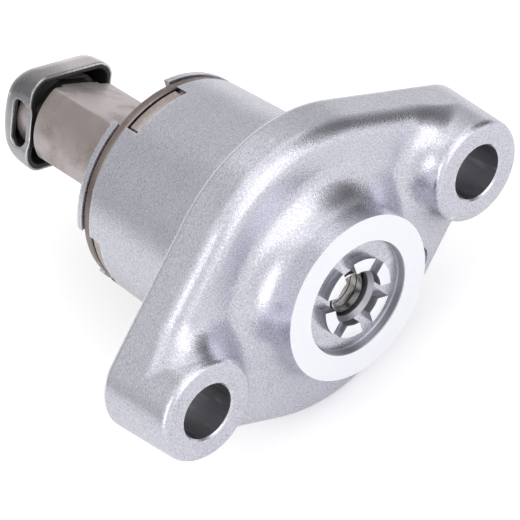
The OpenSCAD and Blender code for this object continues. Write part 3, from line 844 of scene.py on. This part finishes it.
def double_d(z, r):
    """One section of the push rod: a round with two flats, its four corners cut back a little."""
    corner = math.acos(FLATS / r)
    ring = []
    for side in (0, math.pi):
        ring += [(FLATS, side - corner + FLAT_CUT_BACK), (FLATS, side + corner - FLAT_CUT_BACK)]
        start, stop = corner + ROUND_CUT_BACK, math.pi - corner - ROUND_CUT_BACK
        ring += [(r, side + a) for a in np.linspace(start, stop, 41)]
    points = []
    for reach, a in ring:
        out = reach / abs(math.cos(a)) if reach == FLATS else reach
        points.append((out * math.cos(a + PLUNGER_TURN), out * math.sin(a + PLUNGER_TURN), z))
    return points


levels = [(-43.25, 5.25), (-42.95, NECK_R), (-40.95, NECK_R), (-40.75, NECK_GROOVE_R), (-40.1, NECK_GROOVE_R),
          (-39.55, NECK_GROOVE_R), (-39.35, NECK_R), (SHOULDER, NECK_R), (SHOULDER, 6.3),
          (-38.6, PLUNGER_R), (-13.2, PLUNGER_R)]
points = [point for z, r in levels for point in double_d(z, r)]
steps = len(points) // len(levels)
faces = [(j + k, j + (k + 1) % steps, j + steps + (k + 1) % steps, j + steps + k)
         for j in range(0, len(points) - steps, steps) for k in range(steps)]
faces += [range(steps)[::-1], range(len(points) - steps, len(points))]
plunger = new_piece("plunger_rod", points, faces)
collar = turned([(0, COLLAR[0]), (COLLAR_R - COLLAR_EDGE, COLLAR[0]), (COLLAR_R, COLLAR[0] + COLLAR_EDGE),
                 (COLLAR_R, COLLAR[1] - COLLAR_EDGE), (COLLAR_R - COLLAR_EDGE, COLLAR[1]),
                 (0, COLLAR[1])], 120)
hollow = turned([(0, -35.4), (SCREW_ROOM_R, -34.85), (SCREW_ROOM_R, -19.45), (NUT_R, -19.05), (NUT_R, -13.5),
                 (3.7, -12), (0, -12)], 72)
machined(plunger, [("UNION", collar), ("DIFFERENCE", hollow)])
shaded(plunger, 12)

stain_group = bpy.data.node_groups.new("Heat stain", "ShaderNodeTree")
start, end = group_sockets(stain_group, [("Position", "Vector", None), ("Size per metre", "Float", 300.0)],
                           [("Stain", "Float"), ("Spots", "Float")])
cloud = noise(stain_group, start.outputs[0], start.outputs[1], 2.0)
dots = noise(stain_group, start.outputs[0], maths(stain_group, "MULTIPLY", start.outputs[1], 15.0), 2.0, 0.6)
patch = spread(stain_group, cloud, 0.48, 0.66, 0, 1)
stain_group.links.new(patch, end.inputs[0])
stain_group.links.new(maths(stain_group, "MULTIPLY", patch, spread(stain_group, dots, 0.5, 0.62, 0, 1)),
                      end.inputs[1])

SHADED_SIDE = (-0.31, 0, 0.95)
rod_finish, tree, shader, where = new_finish("ground_rod_steel", 0.7)
stain = place_group(tree, stain_group, where, Size_per_metre=230.0)
grain = place_group(tree, grain_group, where, Grains_per_metre=2600.0)
rod_colour = tint(tree, grain["Blotch"], (0.47, 0.415, 0.42), (0.56, 0.505, 0.515))
part = node(tree, "ShaderNodeSeparateXYZ")
tree.links.new(where, part.inputs[0])
toward_flat = (math.cos(PLUNGER_TURN), 0, math.sin(PLUNGER_TURN))
round_side = spread(tree, reach(tree, where, toward_flat), 0.00445, 0.00453, 1.0, 0.0)
# Brown on the round's upper side: partly heat stain, partly painted shade darkening that side.
upper_side_shade = spread(tree, reach(tree, where, SHADED_SIDE), 0.0040, 0.0062, 0.0, 1.0)
stain_and_shade = maths(tree, "MULTIPLY", round_side, upper_side_shade)
stain_and_shade = maths(tree, "MULTIPLY", stain_and_shade, spread(tree, grain["Blotch"], 0.3, 0.7, 0.35, 0.8))
rod_colour = tint(tree, stain_and_shade, rod_colour, (0.27, 0.225, 0.20))
# Painted sheen: the flats are lightened toward the cap, standing in for the light they catch there.
painted_sheen_on_flats = maths(tree, "MULTIPLY", maths(tree, "SUBTRACT", 1.0, round_side),
                spread(tree, part.outputs[1], 0.022, 0.039, 0.0, 0.9))
rod_colour = tint(tree, painted_sheen_on_flats, rod_colour, (0.70, 0.63, 0.64))
rod_colour = overlaid(tree, rod_colour, stain["Stain"], 0.6, (0.33, 0.28, 0.255))
rod_colour = overlaid(tree, rod_colour, stain["Spots"], 0.5, (0.22, 0.18, 0.16))
tree.links.new(rod_colour, shader.inputs["Base Color"])
roughened(tree, shader, grain["Fine"], 0.3, 0.7, 0.34, 0.44)
bumped(tree, shader, grain["Fine"], 0.06, 0.00003)

# Painted shadow: a near-black steel stands in for the shadow on the plunger's neck under the cap's rim and
# inside the cap.
shadow_black_finish, tree, shader, where = new_finish("scaled_steel", 0.8)
grain = place_group(tree, grain_group, where, Grains_per_metre=2800.0)
tree.links.new(tint(tree, grain["Blotch"], (0.045, 0.044, 0.047), (0.10, 0.098, 0.102)),
               shader.inputs["Base Color"])
roughened(tree, shader, grain["Fine"], 0.3, 0.7, 0.4, 0.55)
NECK_END = -40.9
NECK_TOP_ROUND = -38.7
NECK_TOP_FLAT = -39.7
ROUND_FROM = 4.8
x, y, z = face_values(plunger, "center")
# Painted shadow on the neck just under the cap's rim; on the flats it starts nearer the rim.
neck = (z > NECK_END) & (z < np.where(np.hypot(x, y) > ROUND_FROM, NECK_TOP_ROUND, NECK_TOP_FLAT))
set_finishes(plunger, (rod_finish, shadow_black_finish), neck)
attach(plunger, "plunger")
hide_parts("plunger")


# Plunger cap. Pressed from steel sheet into a square cup with a crowned face, tumbled, and slotted on one
# side; the bar between the slot and the rim is pushed in to grip the neck of the plunger.
CAP_TURN = math.radians(63)
CAP_RIM = -39.75
CAP_HALF = 6.45
CAP_CORNER = 2.6
CAP_SHEET = 0.9
CAP_DEPTH = 5.7
CROWN_R = 12.5
CAP_EDGE = 1.9
CUT_EDGE = 0.16
SLOT_SHIFT = 0.2
SLOT_HALF = 3.12
SLOT_LEVEL = 2.0
SLOT_HALF_W = 1.2
SLOT_CORNER = 1.15
BAR_PUSH = 0.42
RIM_WAVE = 0.10


def round_cornered(a, b, r):
    """Distance to a rectangle with corners of radius r, from the overhangs of its inner rectangle."""
    return np.hypot(np.maximum(a, 0), np.maximum(b, 0)) + np.minimum(np.maximum(a, b), 0) - r


def cup(p, q, s):
    """Distance to the cap's outer skin, in its own directions: across, along the slot's axis, and depth."""
    push = smooth((3.4 - np.abs(p + SLOT_SHIFT)) / 1.6) * np.exp(-((s - 0.3) / 0.75) ** 2)
    q = q + BAR_PUSH * push * smooth(q / 3)
    corner = CAP_CORNER + 0.9 * smooth(s / CAP_DEPTH)
    wide, deep = np.abs(p) - (CAP_HALF - corner), np.abs(q) - (CAP_HALF - corner)
    sides = round_cornered(wide, deep, corner)
    level = CAP_DEPTH - CROWN_R + np.sqrt(np.maximum(CROWN_R ** 2 - p ** 2, 1))
    crown = (s - level) * np.sqrt(np.maximum(1 - (p / CROWN_R) ** 2, 0.2))
    return rounded_edge(sides, crown, CAP_EDGE)


def pressing(p, q, s):
    """Distance to the skin of the cap's sheet, with its slot."""
    sheet = np.abs(cup(p, q, s) + CAP_SHEET / 2) - CAP_SHEET / 2
    wave = RIM_WAVE * np.cos(p * 0.55) * smooth((np.abs(q) - 3) / 3)
    sheet = rounded_edge(sheet, wave - s, CUT_EDGE)
    along = np.abs(p + SLOT_SHIFT) - (SLOT_HALF - SLOT_CORNER)
    across = np.abs(s - SLOT_LEVEL) - (SLOT_HALF_W - SLOT_CORNER)
    slot = round_cornered(along, across, SLOT_CORNER)
    return rounded_edge(sheet, -np.maximum(slot, 3 - q), CUT_EDGE)


points, faces = skin(pressing, (-6.9, -6.9, -0.6), (7, 7, 6.2), 0.17)
c, s = math.cos(CAP_TURN), math.sin(CAP_TURN)
points = np.stack([c * points[:, 0] - s * points[:, 1], s * points[:, 0] + c * points[:, 1],
                   CAP_RIM - points[:, 2]], 1)
cap = new_piece("plunger_cap_pressing", points, faces[:, ::-1])
shaded(cap, 60)

pressed_finish, tree, shader, where = new_finish("pressed_steel")
grain = place_group(tree, grain_group, where, Grains_per_metre=2800.0)
edges = place_group(tree, wear_and_highlight_group, From=0.52, To=0.60)
stain = place_group(tree, stain_group, where, Size_per_metre=160.0)
cap_colour = tint(tree, grain["Blotch"], (0.42, 0.42, 0.445), (0.54, 0.535, 0.56))
# Painted shade: the cap's upper left side is darkened toward dark grey, where less light falls on it.
painted_shade_upper_left = spread(tree, reach(tree, where, SHADED_SIDE), 0.0044, 0.0070, 0.0, 0.9)
cap_colour = tint(tree, painted_shade_upper_left, cap_colour, (0.19, 0.185, 0.205))
part = node(tree, "ShaderNodeSeparateXYZ")
tree.links.new(where, part.inputs[0])
# Painted light: the cap is lightened toward its right side, where the light falls on it.
painted_light_to_right = spread(tree, part.outputs[0], -0.003, 0.004, 0.0, 0.85)
cap_colour = tint(tree, painted_light_to_right, cap_colour, (0.78, 0.735, 0.73))
cap_colour = overlaid(tree, cap_colour, stain["Stain"], 0.35, (0.30, 0.29, 0.30))
cap_colour = overlaid(tree, cap_colour, grain["Specks"], 0.3, (0.66, 0.65, 0.67))
# Lighter edges: tumbling wear, with painted highlight.
cap_colour = overlaid(tree, cap_colour, edges["Worn"], 0.6, (0.80, 0.80, 0.82))
tree.links.new(cap_colour, shader.inputs["Base Color"])
roughened(tree, shader, grain["Fine"], 0.3, 0.7, 0.22, 0.34)
bumped(tree, shader, grain["Height"], 0.15, 0.00004)
INNER_FROM = 0.3
x, y, z = face_values(cap, "center")
# Painted shade: the inside of the cup takes the near-black steel.
inner = cup(c * x + s * y, c * y - s * x, CAP_RIM - z) < -INNER_FROM
set_finishes(cap, (pressed_finish, shadow_black_finish), inner)
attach(cap, "plunger")
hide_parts("plunger_cap")


# Studio. A pale floor under the part, a tent round it that is brightest at the front left and darkest to
# the right, soft boxes to the left, in front and above, and a long lens that looks down on the ring face.
FLOOR_HALF = 4
FLOOR_GLOW_SEEN = 0.31
FLOOR_GLOW_MIRRORED = 0.06
PART_MIDDLE = (0, 0.01, 0)
PHOTO_PIXELS = 520
FOCAL_PIXELS = 3639.23
SENSOR = 36.0
floor_mesh = bpy.data.meshes.new("floor")
floor_z = cad_low.z - 0.0001
corners = [(FLOOR_HALF * x, FLOOR_HALF * y, floor_z) for x, y in ((-1, -1), (1, -1), (1, 1), (-1, 1))]
floor_mesh.from_pydata(corners, [], [(0, 1, 2, 3)])
floor = bpy.data.objects.new("floor", floor_mesh)
bpy.context.scene.collection.objects.link(floor)
paper = bpy.data.materials.new("white_paper")
paper.use_nodes = True
tree = paper.node_tree
tree.nodes.remove(tree.nodes["Principled BSDF"])
ray = node(tree, "ShaderNodeLightPath")
matt = node(tree, "ShaderNodeBsdfDiffuse", inputs={"Color": (0.9, 0.9, 0.9, 1)})
glow = node(tree, "ShaderNodeEmission", inputs={"Color": (1, 1, 1, 1)})
mirrored = maths(tree, "MAXIMUM", ray.outputs["Is Glossy Ray"], ray.outputs["Is Transmission Ray"])
mirrored = maths(tree, "MULTIPLY", mirrored, FLOOR_GLOW_MIRRORED)
seen = maths(tree, "MULTIPLY", ray.outputs["Is Camera Ray"], FLOOR_GLOW_SEEN)
tree.links.new(maths(tree, "ADD", seen, mirrored), glow.inputs["Strength"])
both = node(tree, "ShaderNodeAddShader")
tree.links.new(matt.outputs[0], both.inputs[0])
tree.links.new(glow.outputs[0], both.inputs[1])
tree.links.new(both.outputs[0], tree.nodes["Material Output"].inputs["Surface"])
floor_mesh.materials.append(paper)

world = bpy.data.worlds.new("tent")
bpy.context.scene.world = world
world.use_nodes = True
tree = world.node_tree
sky = tree.nodes["Background"]
sky.inputs["Color"].default_value = (1, 1, 1, 1)
ray = node(tree, "ShaderNodeLightPath")
around = node(tree, "ShaderNodeTexCoord").outputs["Generated"]
TENT_BASE = 0.105
TENT_GLOWS = [((-0.50, -0.71, 0.50), -0.22, 0.7, 0.55), ((-0.52, -0.74, 0.42), 0.0, 0.85, 0.27),
              ((0.0, 0.94, 0.34), 0.0, 0.8, 0.40), ((0.70, 0.70, 0.09), 0.3, 0.95, 0.19)]
tent = TENT_BASE
for direction, low, high, strength in TENT_GLOWS:
    glow = node(tree, "ShaderNodeMapRange", interpolation_type="SMOOTHSTEP",
                inputs={1: low, 2: high, 3: 0.0, 4: strength})
    tree.links.new(reach(tree, around, direction), glow.inputs[0])
    tent = maths(tree, "ADD", glow.outputs[0], tent)
shown = node(tree, "ShaderNodeMix", data_type="FLOAT", inputs={3: 1.0})
tree.links.new(ray.outputs["Is Camera Ray"], shown.inputs["Factor"])
tree.links.new(tent, shown.inputs[2])
tree.links.new(shown.outputs[0], sky.inputs["Strength"])


def soft_box(name, place, target, width, height, power):
    light = bpy.data.lights.new(name, "AREA")
    light.shape, light.size, light.size_y, light.energy = "RECTANGLE", width, height, power
    box = bpy.data.objects.new(name, light)
    bpy.context.scene.collection.objects.link(box)
    box.location = place
    aim = Vector(target) - Vector(place)
    box.rotation_euler = aim.to_track_quat("-Z", "Y").to_euler()


soft_box("left_box", (-0.53, -0.18, 0.22), PART_MIDDLE, 0.30, 0.55, 0.62)
soft_box("front_box", (0.11, -0.54, 0.25), PART_MIDDLE, 0.56, 0.62, 0.86)
soft_box("top_box", (0.16, -0.05, 0.58), PART_MIDDLE, 0.95, 0.60, 0.98)

view = bpy.data.cameras.new("view")
view.sensor_width = SENSOR
view.lens = SENSOR * FOCAL_PIXELS / PHOTO_PIXELS
view.clip_start, view.clip_end = 0.01, 20
camera = bpy.data.objects.new("view", view)
bpy.context.scene.collection.objects.link(camera)
right, above, back = (0.7079, -0.665, -0.2381), (0.6193, 0.4223, 0.6619), (-0.3396, -0.6161, 0.7107)
place = (-0.14612, -0.25863, 0.30040)
camera.matrix_world = Matrix([(right[k], above[k], back[k], place[k]) for k in range(3)] + [(0, 0, 0, 1)])
bpy.context.scene.camera = camera
bpy.context.scene.view_settings.view_transform = "Standard"
